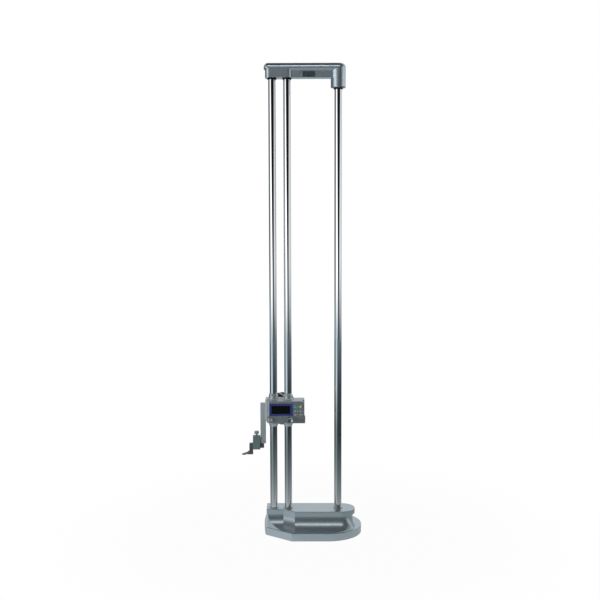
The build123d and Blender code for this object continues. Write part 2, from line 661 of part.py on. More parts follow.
WHEEL_BACK = WHEEL_FRONT + WHEEL_WIDTH
NUT_FRONT = WHEEL_BACK - (WHEEL_WIDTH - WHEEL_WEB) / 2
SHAFT_BACK = NUT_FRONT + NUT_HEIGHT + SHAFT_END


def pinion_shaft():
    """Shaft from the encoder disc through both bushes to the hand wheel."""
    shaft = lengthwise(SHAFT_D / 2, SHAFT_FRONT, SHAFT_BACK, PINION_X, PINION_Z)
    shaft = chamfer(shaft.edges(), SHAFT_CHAMFER)
    collar = (SHAFT_BUSHES[1] + FREE_GAP, WHEEL_FRONT)
    return shaft + lengthwise(SHAFT_COLLAR_D / 2, *collar, PINION_X, PINION_Z)


def encoder_disc():
    """Graduated disc of the rotary encoder, with its hub."""
    hub_back = SLIDER_FRONT - FREE_GAP
    front = SHAFT_FRONT + DISC_THICKNESS
    disc = lengthwise(DISC_D / 2, front, front + DISC_THICKNESS, PINION_X, PINION_Z)
    disc += lengthwise(DISC_HUB_D / 2, front, hub_back, PINION_X, PINION_Z)
    return disc - lengthwise(SHAFT_D / 2 + SEAT_FIT, SHAFT_FRONT, hub_back, PINION_X, PINION_Z)


def hand_wheel():
    """Moulded feed wheel: hub, dished web and a rim with finger grips."""
    outer, hub, rim = WHEEL_D / 2, WHEEL_HUB_D / 2, WHEEL_D / 2 - WHEEL_RIM
    web = (WHEEL_WIDTH - WHEEL_WEB) / 2
    bore = SHAFT_D / 2 + SEAT_FIT
    half = [
        (bore, 0), (hub, 0), (hub + web, web), (rim - web, web), (rim, 0),
        (outer - WHEEL_EASE, 0), (outer, WHEEL_EASE), (outer, WHEEL_WIDTH - WHEEL_EASE),
        (outer - WHEEL_EASE, WHEEL_WIDTH), (rim, WHEEL_WIDTH),
        (rim - web, WHEEL_WIDTH - web), (bore, WHEEL_WIDTH - web),
    ]
    face = make_face(Plane.XZ * Polyline(half, close=True))
    wheel = revolve(face, Axis.Z)
    grip = Cylinder(GRIP_R, WHEEL_WIDTH, align=LOW)
    wheel -= [loc * grip for loc in PolarLocations(outer + GRIP_R - GRIP_DEPTH, GRIP_COUNT)]
    return Pos(PINION_X, WHEEL_FRONT, PINION_Z) * Rot(-90, 0, 0) * wheel


def wheel_nut():
    """Domed nut that holds the wheel on its shaft."""
    nut = extrude(RegularPolygon(NUT_ACROSS / 2, 6, major_radius=False), NUT_HEIGHT)
    nut += Cylinder(NUT_ACROSS / 2 - NUT_DOME / 4, NUT_HEIGHT + NUT_DOME, align=LOW)
    nut = fillet(nut.edges().sort_by(Axis.Z)[-1], NUT_DOME_ROUND)
    nut -= Cylinder(SHAFT_D / 2 + SEAT_FIT, SHAFT_BACK - NUT_FRONT, align=LOW)
    return Pos(PINION_X, NUT_FRONT, PINION_Z) * Rot(-90, 0, 0) * nut


# --------------------------------------------------------------- display unit
DISPLAY_RIGHT = DISPLAY_LEFT + DISPLAY_WIDTH
REAR_BOX_LEFT = SLIDER_RIGHT + FREE_GAP
INNER_FRONT = DISPLAY_FRONT + DISPLAY_WALL
KEYS = [(x, z) for z in KEY_ROWS for x in KEY_COLUMNS]


def key_radius(z):
    """The two top keys are larger than the four below."""
    return (KEY_D if z == KEY_ROWS[0] else LOWER_KEY_D) / 2


def housing_form(right, front, high, shoulder, inset):
    """Block with the front housing's roundings, held in from its outside by an inset."""
    left, low = DISPLAY_LEFT + inset, DISPLAY_LOW + inset
    right, high, front = right - inset, high - inset, front + inset
    width, depth, height = right - left, DISPLAY_SPLIT - front, high - low
    plan = Rectangle(width, depth)
    plan = fillet(plan.vertices().sort_by(Axis.Y)[:2].sort_by(Axis.X)[0], DISPLAY_TEMPLE - inset)
    face = Rectangle(width, height)
    face = fillet(face.vertices().sort_by(Axis.Y)[:2], DISPLAY_ROUND - inset)
    face = fillet(face.vertices().sort_by(Axis.Y)[-2:].sort_by(Axis.X)[-1], shoulder - inset)
    middle = (left + right) / 2
    standing = Pos(middle, (front + DISPLAY_SPLIT) / 2, low) * extrude(plan, height)
    across = Plane(origin=(middle, DISPLAY_SPLIT, (low + high) / 2), x_dir=(1, 0, 0), z_dir=(0, -1, 0))
    return standing & extrude(across * face, depth)


def soften_front(body):
    """Round the front face's edges, all but the left one, which is round already."""
    front = body.faces().filter_by(Axis.Y).sort_by(Axis.Y)[0]
    edges = [e for e in front.edges() if e.center().X > DISPLAY_LEFT + 2 * DISPLAY_TEMPLE]
    return fillet(edges, DISPLAY_EDGE)


def clear_screws(body, front, back):
    """Holes through the display unit for the clamp screw and the lock screw."""
    body -= lengthwise(CLAMP_SCREW_D / 2 + FREE_GAP, front, back, CLAMP_X, CLAMP_Z)
    return body - lengthwise(LOCK_SCREW_D / 2 + FREE_GAP, front, back, LOCK_X, LOCK_Z)


def display_front():
    """Front housing: rounded shell, sloped chin, and openings for the read-out and keys."""
    shell = soften_front(housing_form(DISPLAY_RIGHT, DISPLAY_FRONT, DISPLAY_HIGH, DISPLAY_SHOULDER, 0))
    chin_front, chin_right = DISPLAY_FRONT - CHIN_DEPTH, DISPLAY_RIGHT + CHIN_WIDER
    chin = soften_front(housing_form(chin_right, chin_front, CHIN_TOP, DISPLAY_ROUND, 0))
    slope = [(chin_front, CHIN_TOP - CHIN_SLOPE), (DISPLAY_FRONT, CHIN_TOP), (chin_front, CHIN_TOP)]
    chin -= side_shape(slope, DISPLAY_LEFT, chin_right)
    wall = DISPLAY_WALL
    inside = housing_form(DISPLAY_RIGHT, DISPLAY_FRONT, DISPLAY_HIGH, DISPLAY_SHOULDER, wall)
    body = shell + chin - inside
    recess = (DISPLAY_FRONT, DISPLAY_FRONT + LCD_RECESS)
    body -= block((LCD_LEFT, LCD_RIGHT), recess, (LCD_LOW, LCD_HIGH))
    body -= block((WINDOW_LEFT, WINDOW_RIGHT), (DISPLAY_FRONT, INNER_FRONT), (WINDOW_LOW, WINDOW_HIGH))
    for key_x, key_z in KEYS:
        body -= lengthwise(key_radius(key_z) + FREE_GAP, DISPLAY_FRONT, INNER_FRONT, key_x, key_z)
    return clear_screws(body, chin_front, DISPLAY_SPLIT)


def display_rear():
    """Rear housing: back plate over the casting and a box beside it."""
    wall = DISPLAY_WALL
    z = (DISPLAY_LOW, DISPLAY_HIGH)
    plate = block((DISPLAY_LEFT, DISPLAY_RIGHT), (DISPLAY_SPLIT, SLIDER_FRONT), z)
    box = block((REAR_BOX_LEFT, DISPLAY_RIGHT), (DISPLAY_SPLIT, DISPLAY_BACK), z)
    box = fillet(box.edges().filter_by(Axis.Y).sort_by(Axis.X)[-2:], DISPLAY_ROUND)
    box = fillet(box.faces().sort_by(Axis.Y)[-1].edges(), 1)
    inside = block((REAR_BOX_LEFT + wall, DISPLAY_RIGHT - wall),
                   (DISPLAY_SPLIT, DISPLAY_BACK - wall), (z[0] + wall, z[1] - wall))
    body = plate + box - inside
    body -= lengthwise(SHAFT_D, DISPLAY_SPLIT, SLIDER_FRONT, PINION_X, PINION_Z)
    body = clear_screws(body, DISPLAY_SPLIT, SLIDER_FRONT)
    body -= lengthwise(COVER_D / 2 + SEAT_FIT, DISPLAY_BACK - wall, DISPLAY_BACK, BATTERY_X, BATTERY_Z)
    return body


COVER_D = BATTERY_D + 2


def battery_cover():
    """Round coin-slot cover in the back of the display unit."""
    cover = lengthwise(COVER_D / 2, DISPLAY_BACK - DISPLAY_WALL, DISPLAY_BACK, BATTERY_X, BATTERY_Z)
    slot = block((BATTERY_X - BATTERY_D / 3, BATTERY_X + BATTERY_D / 3),
                 (DISPLAY_BACK - 1.2, DISPLAY_BACK), (BATTERY_Z - 1, BATTERY_Z + 1))
    return cover - slot


def battery():
    """Coin cell behind its cover."""
    back = DISPLAY_BACK - DISPLAY_WALL
    return lengthwise(BATTERY_D / 2, back - BATTERY_THICKNESS, back, BATTERY_X, BATTERY_Z)


def lcd_frame():
    """Coloured frame let into the front, round the window."""
    y = (DISPLAY_FRONT + LCD_RECESS - LCD_FRAME_THICKNESS, DISPLAY_FRONT + LCD_RECESS)
    z = (LCD_LOW + SEAT_FIT, LCD_HIGH - SEAT_FIT)
    frame = block((LCD_LEFT + SEAT_FIT, LCD_RIGHT - SEAT_FIT), y, z)
    frame = fillet(frame.edges().filter_by(Axis.Y), LCD_CORNER)
    return frame - block((WINDOW_LEFT, WINDOW_RIGHT), y, (WINDOW_LOW, WINDOW_HIGH))


def lcd_window():
    """Clear window seated in the frame's opening."""
    front = DISPLAY_FRONT
    return block((WINDOW_LEFT + SEAT_FIT, WINDOW_RIGHT - SEAT_FIT), (front, front + WINDOW_THICKNESS),
                 (WINDOW_LOW + SEAT_FIT, WINDOW_HIGH - SEAT_FIT))


def lcd_panel():
    """Liquid-crystal cell behind the window."""
    front = DISPLAY_FRONT + WINDOW_THICKNESS
    return block((WINDOW_LEFT + SEAT_FIT, WINDOW_RIGHT - SEAT_FIT), (front, front + PANEL_THICKNESS),
                 (WINDOW_LOW + SEAT_FIT, WINDOW_HIGH - SEAT_FIT))


SWITCH_FRONT = INNER_FRONT + KEY_FLANGE_THICKNESS + KEY_TRAVEL


def circuit_board():
    """Printed board across the front housing, cut out for the encoder and the clamp screws."""
    margin = DISPLAY_WALL + 1
    x = (DISPLAY_LEFT + DISPLAY_WALL, DISPLAY_RIGHT - DISPLAY_WALL)
    board = block(x, (BOARD_Y, BOARD_Y + BOARD_THICKNESS), (CHIN_TOP + 1, DISPLAY_HIGH - margin))
    board &= housing_form(DISPLAY_RIGHT, DISPLAY_FRONT, DISPLAY_HIGH, DISPLAY_SHOULDER, DISPLAY_WALL)
    rear = DISPLAY_FRONT + WINDOW_THICKNESS + PANEL_THICKNESS
    spacer = block((WINDOW_LEFT + 1, WINDOW_RIGHT - 1), (rear, BOARD_Y), (WINDOW_LOW + 1, WINDOW_HIGH - 1))
    return board + spacer


def key_switches():
    """Dome switches on the board, one behind each key."""
    switches = []
    for x, z in KEYS:
        half = SWITCH_SIDE / 2
        base = block((x - half, x + half), (SWITCH_FRONT + 1, BOARD_Y), (z - half, z + half))
        switches.append(base + lengthwise(1.5, SWITCH_FRONT, SWITCH_FRONT + 1, x, z))
    return Compound(switches)


def key_cap(x, z):
    """Round key with a retaining flange behind the housing's wall."""
    radius = key_radius(z)
    cap = lengthwise(radius, DISPLAY_FRONT - KEY_PROUD, INNER_FRONT, x, z)
    cap = fillet(cap.edges().sort_by(Axis.Y)[0], KEY_EDGE)
    return cap + lengthwise(radius + KEY_FLANGE, INNER_FRONT, INNER_FRONT + KEY_FLANGE_THICKNESS, x, z)


# ------------------------------------------------------------ clamps on slider
KNOB_BACK = DISPLAY_FRONT - CHIN_DEPTH - 1.5
SHOE_FRONT = COLUMN_Y - COLUMN_R - 0.4


def clamp_screw():
    """Screw of the slider clamp, through the chin to the brake shoe."""
    return lengthwise(CLAMP_SCREW_D / 2, KNOB_BACK - 8, SHOE_FRONT - 1, CLAMP_X, CLAMP_Z)


def clamp_knob():
    """Plated clamp knob with a dished face and a waisted neck."""
    r, length = CLAMP_KNOB_D / 2, CLAMP_KNOB_LENGTH
    half = [(0, 0), (r * 0.6, 0), (r * 0.62, length * 0.25), (r * 0.9, length * 0.38), (r, length * 0.5),
            (r, length * 0.85), (r * 0.86, length), (r * 0.5, length * 0.94), (0, length * 0.92)]
    knob = revolve(make_face(Plane.XZ * Polyline(half, close=True)), Axis.Z)
    knob -= Cylinder(CLAMP_SCREW_D / 2 + SEAT_FIT, 8, align=LOW)
    return Pos(CLAMP_X, KNOB_BACK, CLAMP_Z) * Rot(90, 0, 0) * knob


def brake_shoe():
    """Brass shoe between clamp screw and rack column, hollowed to the column."""
    back = COLUMN_Y - COLUMN_R + 1.5
    shoe = lengthwise(CLAMP_SCREW_D / 2 + FREE_GAP - SEAT_FIT, SHOE_FRONT - 1, back, CLAMP_X, CLAMP_Z)
    return shoe - upright(COLUMN_R + 2 * RUNNING_FIT, SLIDER_Z, SLIDER_TOP, RACK_X)


def lock_screw():
    """Small knurled locking screw at the left of the chin."""
    back = DISPLAY_FRONT - CHIN_DEPTH - FREE_GAP
    head = knurled(LOCK_HEAD_D / 2, LOCK_HEAD_LENGTH, LOCK_RIDGES, RIDGE_DEPTH, LOCK_EASE)
    head = Pos(LOCK_X, back, LOCK_Z) * Rot(90, 0, 0) * head
    return head + lengthwise(LOCK_SCREW_D / 2, back, SLIDER_FRONT + LOCK_SCREW_GRIP, LOCK_X, LOCK_Z)


def lever_stud():
    """Clamp stud in the lug on the back of the slider."""
    back = LUG_BACK + LEVER_THICKNESS + LEVER_STUD_D / 2
    return lengthwise(LEVER_STUD_D / 2, STUD_END, back, LEVER_X, LEVER_Z)


def clamp_lever():
    """Plated clamp lever: round eye and a tapering handle."""
    eye = Cylinder(LEVER_EYE_D / 2, LEVER_THICKNESS, align=LOW)
    tip_x = -LEVER_LENGTH
    root, tip = 0.4 * LEVER_EYE_D, LEVER_TIP_D / 2
    handle = make_face(Polyline([(0, -root), (tip_x, -tip), (tip_x, tip), (0, root)], close=True))
    handle = Pos(0, 0, LEVER_EASE) * extrude(handle, LEVER_THICKNESS - 2 * LEVER_EASE)
    ball = Pos(tip_x, 0, LEVER_THICKNESS / 2) * Sphere(LEVER_BALL_D / 2)
    lever = eye + handle + ball - Cylinder(LEVER_STUD_D / 2 + SEAT_FIT, LEVER_THICKNESS, align=LOW)
    turned = Rot(90, 0, 0) * Rot(0, 0, -LEVER_ANGLE) * lever
    return Pos(LEVER_X, LUG_BACK + FREE_GAP + LEVER_THICKNESS, LEVER_Z) * turned


# ------------------------------------------------------------- jaw and scriber
JAW_RIGHT = SLIDER_LEFT
JAW_LEFT = JAW_RIGHT - JAW_WIDTH
JAW_SCREW_LEVELS = (JAW_TOP - 12, JAW_TOP - 34)
JAW_SCREW_GRIP = 9.0
BOX_RIGHT = JAW_LEFT - 1
BOX_LEFT = BOX_RIGHT - CLAMP_BOX_WIDTH
FOOT_TOP = JAW_LOW + JAW_FOOT_HEIGHT
SCRIBER_TOP = JAW_LOW - SEAT_FIT
SCRIBER_LOW = SCRIBER_TOP - SCRIBER_HEIGHT
SCRIBER_FACE = READING + SCRIBER_CLEAR
JAW_Y = (COLUMN_Y - JAW_DEPTH / 2, COLUMN_Y + JAW_DEPTH / 2)
SCRIBER_Y = (COLUMN_Y - SCRIBER_DEPTH / 2, COLUMN_Y + SCRIBER_DEPTH / 2)


def jaw():
    """Hanging jaw: bar screwed to the slider, with a foot that carries the scriber."""
    outline = [(JAW_LEFT, JAW_TOP), (JAW_RIGHT, JAW_TOP), (JAW_RIGHT, JAW_LOW),
               (BOX_LEFT, JAW_LOW), (BOX_LEFT, FOOT_TOP), (JAW_LEFT, FOOT_TOP)]
    bar = front_shape(outline, *JAW_Y)
    bar = chamfer(bar.edges().filter_by(Axis.Z).sort_by(Axis.Y)[:2], 0.8)
    head = SCREW_HEAD_RATIO * JAW_SCREW_D / 2 + FREE_GAP
    for z in JAW_SCREW_LEVELS:
        bar -= crosswise(JAW_SCREW_D / 2 + FREE_GAP, JAW_LEFT, JAW_RIGHT, COLUMN_Y, z)
        bar -= crosswise(head, JAW_LEFT, JAW_LEFT + JAW_SCREW_D + 0.5, COLUMN_Y, z)
    return bar


def jaw_screws():
    """Socket screws that hold the jaw against the slider."""
    screw = socket_screw(JAW_SCREW_D, JAW_WIDTH - JAW_SCREW_D - 0.5 + JAW_SCREW_GRIP - 1)
    head_x = JAW_LEFT + JAW_SCREW_D + 0.5
    return Compound([Pos(head_x, COLUMN_Y, z) * Rot(0, 90, 0) * screw for z in JAW_SCREW_LEVELS])


def scriber_clamp():
    """Box clamp round the jaw's foot and the scriber's shank."""
    floor = SCRIBER_LOW - RUNNING_FIT - CLAMP_BOX_FLOOR
    y = (JAW_Y[0] - CLAMP_BOX_WALL, JAW_Y[1] + CLAMP_BOX_WALL)
    box = block((BOX_LEFT, BOX_RIGHT), y, (floor, CLAMP_BOX_TOP))
    box = chamfer(box.edges().filter_by(Axis.X), 1)
    box = chamfer(box.edges().filter_by(Axis.Z), 0.6)
    foot_slot = (JAW_Y[0] - RUNNING_FIT, JAW_Y[1] + RUNNING_FIT)
    shank_slot = (SCRIBER_Y[0] - RUNNING_FIT, SCRIBER_Y[1] + RUNNING_FIT)
    box -= block((BOX_LEFT, BOX_RIGHT), foot_slot, (JAW_LOW, FOOT_TOP + RUNNING_FIT))
    box -= block((BOX_LEFT, BOX_RIGHT), shank_slot, (SCRIBER_LOW - RUNNING_FIT, JAW_LOW))
    return box - upright(THUMB_SCREW_D / 2 + RUNNING_FIT, FOOT_TOP, CLAMP_BOX_TOP, BOX_X)


BOX_X = (BOX_LEFT + BOX_RIGHT) / 2


def thumb_screw():
    """Knurled thumb screw that draws clamp, scriber and jaw together."""
    neck_top = CLAMP_BOX_TOP + THUMB_NECK
    head = knurled(THUMB_D / 2, THUMB_HEIGHT, THUMB_RIDGES, RIDGE_DEPTH, THUMB_EASE)
    head = Pos(BOX_X, COLUMN_Y, neck_top) * head
    neck = upright(THUMB_SCREW_D / 2, FOOT_TOP + RUNNING_FIT, neck_top, BOX_X)
    return head + neck


SHANK_RIGHT = BOX_RIGHT + SCRIBER_TAIL
UPRIGHT_RIGHT = BOX_LEFT - SEAT_FIT
UPRIGHT_LEFT = UPRIGHT_RIGHT - SCRIBER_UPRIGHT
NOSE_X = UPRIGHT_LEFT - SCRIBER_NOSE
BLADE_LOW = SCRIBER_FACE + TIP_HEIGHT


def scriber():
    """Offset scriber: shank, upright and a blade that tapers to the tip."""
    outline = [
        (SHANK_RIGHT, SCRIBER_TOP), (SHANK_RIGHT, SCRIBER_LOW), (UPRIGHT_RIGHT, SCRIBER_LOW),
        (UPRIGHT_RIGHT, BLADE_LOW), (NOSE_X, BLADE_LOW), (NOSE_X, BLADE_LOW + 0.9),
        (UPRIGHT_LEFT - 0.25 * SCRIBER_NOSE, BLADE_LOW + 6), (UPRIGHT_LEFT, BLADE_LOW + 10),
        (UPRIGHT_LEFT, SCRIBER_TOP),
    ]
    body = front_shape(outline, *SCRIBER_Y)
    wedge = nose_wedge()
    return body - wedge[0] - wedge[1]


def nose_wedge():
    """Pair of cutters that narrow the blade to its point, seen from above."""
    start, end = UPRIGHT_LEFT - 2, NOSE_X - 1
    z = (SCRIBER_FACE - 1, SCRIBER_TOP)
    cutters = []
    for side in (-1, 1):
        edge = COLUMN_Y + side * SCRIBER_DEPTH / 2
        point = COLUMN_Y + side * 1.5
        face = make_face(Polyline([(start, edge), (end, point), (end, edge + side), (start, edge + side)],
                                  close=True))
        cutters.append(Pos(0, 0, z[0]) * extrude(face, z[1] - z[0], dir=(0, 0, 1)))
    return cutters


def carbide_tip():
    """Hard-metal tip brazed under the blade, ground flat below."""
    outline = [(NOSE_X, BLADE_LOW), (NOSE_X, SCRIBER_FACE), (NOSE_X + TIP_LENGTH - 1, SCRIBER_FACE),
               (NOSE_X + TIP_LENGTH, BLADE_LOW)]
    wedge = nose_wedge()
    return front_shape(outline, *SCRIBER_Y) - wedge[0] - wedge[1]


# ------------------------------------------------------------------ all pieces
NODES = {
    "base_casting": base_casting,
    "column_screws": column_screws,
    "foot_collars": foot_collars,
    "main_column": lambda: plain_column(MAIN_X),
    "rack_column": rack_column,
    "support_column": lambda: plain_column(SUPPORT_X),
    "top_bracket": top_bracket,
    "column_bumpers": column_bumpers,
    "bracket_set_screws": set_screws,
    "name_plate": name_plate,
    "slider_body": slider_body,
    "guide_bushes": guide_bushes,
    "wiper_cones": wiper_cones,
    "wiper_felts": wiper_felts,
    "shaft_bushes": shaft_bushes,
    "drive_pinion": drive_pinion,
    "pinion_shaft": pinion_shaft,
    "encoder_disc": encoder_disc,
    "hand_wheel": hand_wheel,
    "wheel_nut": wheel_nut,
    "display_front": display_front,
    "display_rear": display_rear,
    "battery_cover": battery_cover,
    "battery": battery,
    "lcd_frame": lcd_frame,
    "lcd_window": lcd_window,
    "lcd_panel": lcd_panel,
    "circuit_board": circuit_board,
    "key_switches": key_switches,
    "clamp_screw": clamp_screw,
    "clamp_knob": clamp_knob,
    "brake_shoe": brake_shoe,
    "lock_screw": lock_screw,
    "lever_stud": lever_stud,
    "clamp_lever": clamp_lever,
    "jaw": jaw,
    "jaw_screws": jaw_screws,
    "scriber_clamp": scriber_clamp,
    "thumb_screw": thumb_screw,
    "scriber": scriber,
    "carbide_tip": carbide_tip,
}

os.makedirs("parts", exist_ok=True)
for node, make in NODES.items():
    save(node, make())
for number, (key_x, key_z) in enumerate(KEYS, start=1):
    save(f"key_{number}", key_cap(key_x, key_z))
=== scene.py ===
# %% [markdown]
# # Dressing a double-column height gauge
# The gauge arrives as a set of solid parts at their real size: a cast base,
# three ground columns, a top bracket, and a slider that carries the display,
# the hand wheel and the scriber. This lesson gives every part its finish and
# adds the fine pieces that a solid model leaves out. The first step loads the
# parts, and gives a way to read the box that each part fills.

# %% Load the parts
import bpy
import bmesh
import json
import math
from mathutils import Euler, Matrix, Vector


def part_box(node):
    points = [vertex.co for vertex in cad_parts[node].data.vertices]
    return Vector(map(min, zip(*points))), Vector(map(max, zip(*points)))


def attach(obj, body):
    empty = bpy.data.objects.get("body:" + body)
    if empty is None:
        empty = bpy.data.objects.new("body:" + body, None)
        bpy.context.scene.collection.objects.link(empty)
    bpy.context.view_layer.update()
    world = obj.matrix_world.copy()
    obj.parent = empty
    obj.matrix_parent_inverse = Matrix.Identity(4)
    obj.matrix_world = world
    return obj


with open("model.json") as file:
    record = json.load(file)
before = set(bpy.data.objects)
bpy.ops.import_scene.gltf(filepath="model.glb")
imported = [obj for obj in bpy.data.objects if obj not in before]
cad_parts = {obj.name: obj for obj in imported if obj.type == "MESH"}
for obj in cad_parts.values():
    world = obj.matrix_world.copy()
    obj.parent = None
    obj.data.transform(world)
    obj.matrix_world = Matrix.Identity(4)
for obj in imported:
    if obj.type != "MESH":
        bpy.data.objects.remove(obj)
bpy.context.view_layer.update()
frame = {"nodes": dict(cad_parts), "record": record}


# %% [markdown]
# ## The camera
# A slim instrument over a metre tall is best seen with a fairly long lens from
# some way back, so that its columns stay parallel. The camera stands a little
# above the middle of the columns and looks slightly down. It could be aimed
# with a Track To constraint, but plain angles show exactly what it does.

# %% Camera
CAMERA_PLACE = (-0.0274, -2.5455, 0.8767)
CAMERA_PITCH = 0.0889         # radians below the horizon
CAMERA_TURN = 0.0028          # radians to the left
CAMERA_ROLL = -0.0024
CAMERA_LENS = 55.68           # mm
SENSOR_WIDTH = 36.0           # mm
MIDDLE_OF_GAUGE = Vector((0, 0, 0.64))

camera_data = bpy.data.cameras.new("Camera")
camera_data.lens = CAMERA_LENS
camera_data.sensor_width = SENSOR_WIDTH
camera = bpy.data.objects.new("Camera", camera_data)
aim = Euler((math.pi / 2 - CAMERA_PITCH, 0.0, CAMERA_TURN)).to_matrix()
roll = Euler((0.0, 0.0, CAMERA_ROLL)).to_matrix()
camera.rotation_euler = (aim @ roll).to_euler()
camera.location = CAMERA_PLACE
bpy.context.scene.collection.objects.link(camera)
bpy.context.scene.camera = camera
bpy.context.scene.view_settings.view_transform = "Standard"
print("camera distance:", round((camera.location - MIDDLE_OF_GAUGE).length, 3), "m")


# %% [markdown]
# ## Short ways to build a node tree
# Every finish below is a small node tree. Nodes can be added by hand in the
# shader editor; in a script a few helpers keep each recipe to a handful of
# lines, and each recipe then reads like a list of layers. Coordinates are the
# object's own, in metres, so a scale of 1000 gives grains about a millimetre
# across, and the pattern stays on the part when the part moves.

# %% Node helpers
def plug(tree, source, socket):
    """Joins an output to an input, or sets the input to a plain value."""
    if isinstance(source, bpy.types.NodeSocket):
        tree.links.new(source, socket)
    else:
        socket.default_value = source


def node(tree, kind, inputs=(), **settings):
    """Adds one node; inputs is a dictionary of socket name or number to value or output."""
    made = tree.nodes.new(kind)
    for name, value in settings.items():
        setattr(made, name, value)
    for name, value in dict(inputs).items():
        plug(tree, value, made.inputs[name])
    return made


def maths(tree, operation, a, b=0.0):
    """One step of arithmetic on numbers or outputs."""
    return node(tree, "ShaderNodeMath", {0: a, 1: b}, operation=operation).outputs[0]


def mix_colour(tree, factor, a, b):
    """Colour a where the factor is 0, colour b where it is 1."""
    made = node(tree, "ShaderNodeMix", {"Factor": factor}, data_type="RGBA")
    plug(tree, a, made.inputs[6])
    plug(tree, b, made.inputs[7])
    return made.outputs[2]


def remap(tree, value, low, high, to_low=0.0, to_high=1.0, smooth=True):
    """Carries low to high over to another range, held at its ends, softly or in a straight line."""
    kind = "SMOOTHSTEP" if smooth else "LINEAR"
    inputs = {"Value": value, "From Min": low, "From Max": high,
              "To Min": to_low, "To Max": to_high}
    return node(tree, "ShaderNodeMapRange", inputs, interpolation_type=kind).outputs["Result"]


def place_on(tree, stretch=(1.0, 1.0, 1.0)):
    """The surface point in the part's own metres, stretched along each axis."""
    spot = node(tree, "ShaderNodeTexCoord").outputs["Object"]
    if stretch == (1.0, 1.0, 1.0):
        return spot
    return node(tree, "ShaderNodeMapping", {"Vector": spot, "Scale": stretch}).outputs[0]


def grain(tree, spot, scale, detail=2.0):
    """Soft noise, finer as the scale grows."""
    inputs = {"Vector": spot, "Scale": scale, "Detail": detail}
    return node(tree, "ShaderNodeTexNoise", inputs).outputs["Fac"]


def relief(tree, height, strength, depth, normal=None):
    """A bump of a real depth in metres, laid over another normal if one is given."""
    inputs = {"Height": height, "Strength": strength, "Distance": depth}
    if normal is not None:
        inputs["Normal"] = normal
    return node(tree, "ShaderNodeBump", inputs).outputs["Normal"]


def finish(name, colour, roughness, metallic=0.0, **sockets):
    """A new material with one Principled shader; returns the material, its tree and shader."""
    made = bpy.data.materials.new(name)
    made.use_nodes = True
    shader = made.node_tree.nodes["Principled BSDF"]
    shader.inputs["Base Color"].default_value = (*colour, 1.0)
    shader.inputs["Roughness"].default_value = roughness
    shader.inputs["Metallic"].default_value = metallic
    made.diffuse_color = (*colour, 1.0)
    for socket, value in sockets.items():
        shader.inputs[socket.replace("_", " ")].default_value = value
    return made, made.node_tree, shader


def shade_pair(colour, change):
    """Two near shades of one colour, darker and lighter by the same share."""
    dark = tuple(c * (1.0 - change) for c in colour)
    light = tuple(min(1.0, c * (1.0 + change)) for c in colour)
    return (*dark, 1.0), (*light, 1.0)


# %% [markdown]
# ## Table, room and lamps
# Polished columns show the room more than themselves, so the room is part of
# the finish. A picture of a studio could be wrapped round the scene; here the
# room is a short formula instead. Colour ramps over the compass angle give the
# pale walls that a column mirrors at eye level, the darker walls near the
# table and the room above head height. One more ramp cuts a dark gap between
# the walls, on the camera's side. The camera sees plain white in their place.

# %% Room
WALLS = [                    # compass angle from the camera's side, and how pale the wall is
    (-180, 0.50), (-168, 0.26), (-158, 0.09), (-106, 0.08), (-88, 0.36), (-67, 0.42), (-59, 1.7),
    (9, 1.7), (11, 0.62), (84, 0.90), (110, 0.70), (180, 0.50),
]
LOW_WALLS = [                # the same just above the table
    (-180, 0.60), (-120, 0.36), (-84, 0.30), (-70, 0.66), (-20, 0.66), (-12, 0.05),
    (38, 0.05), (58, 0.15), (95, 0.22), (120, 0.40), (180, 0.60),
]
UPPER_WALLS = [              # and above the eye-level walls
    (-180, 0.80), (-115, 0.56), (-80, 0.05), (80, 0.05), (115, 0.56), (180, 0.80),
]
CEILING = 0.03
BLACK = (0.0, 0.0, 0.0, 1.0)
WHITE = (1.0, 1.0, 1.0, 1.0)
ROOM_TINT = (1.0, 1.01, 1.02)        # nearly neutral
FLOOR_TINT = (0.84, 1.03, 1.10)      # the table and the walls just above it are cool
GAP = [                      # share of the pale wall that is left; the middle is the dark gap
    (-180, 1.0), (-24, 1.0), (-13, 0.01), (35, 0.01), (46, 1.0), (180, 1.0),
]
GAP_MIDDLE = math.radians(10)        # the gap grows on both sides of this angle
# The numbers below are heights of a direction, from -1 straight down to 1 straight up.
GAP_RISE = -0.14, 0.2        # the gap widens from the first height to the second
GAP_GROWTH = 5.0             # and by how much for each unit of height
LOW_TO_EYE = -0.155, -0.035          # where one band of walls gives way to the next
EYE_TO_UPPER = 0.22, 0.34
UPPER_TO_CEILING = 0.75, 0.9


def fill_ramp(made, stops):
    """Gives a colour ramp its stops, each a place from 0 to 1 and a colour."""
    elements = made.color_ramp.elements
    while len(elements) < len(stops):
        elements.new(0.5)
    for element, (place, colour) in zip(elements, stops):
        element.position = place
        element.color = (*colour, 1.0)
    return made.outputs[0]


def compass_ramp(tree, angle, stops, tint=ROOM_TINT):
    """Colour ramp over a compass angle, its stops given in degrees and as levels."""
    turn = remap(tree, angle, -math.pi, math.pi, smooth=False)
    made = node(tree, "ShaderNodeValToRGB", {0: turn})
    return fill_ramp(made, [
        ((degrees + 180) / 360, [level * share for share in tint]) for degrees, level in stops])


def compass(tree, x, y):
    """Compass angle in radians, zero on the camera's side and growing to the right."""
    return maths(tree, "ARCTAN2", x, maths(tree, "MULTIPLY", y, -1.0))


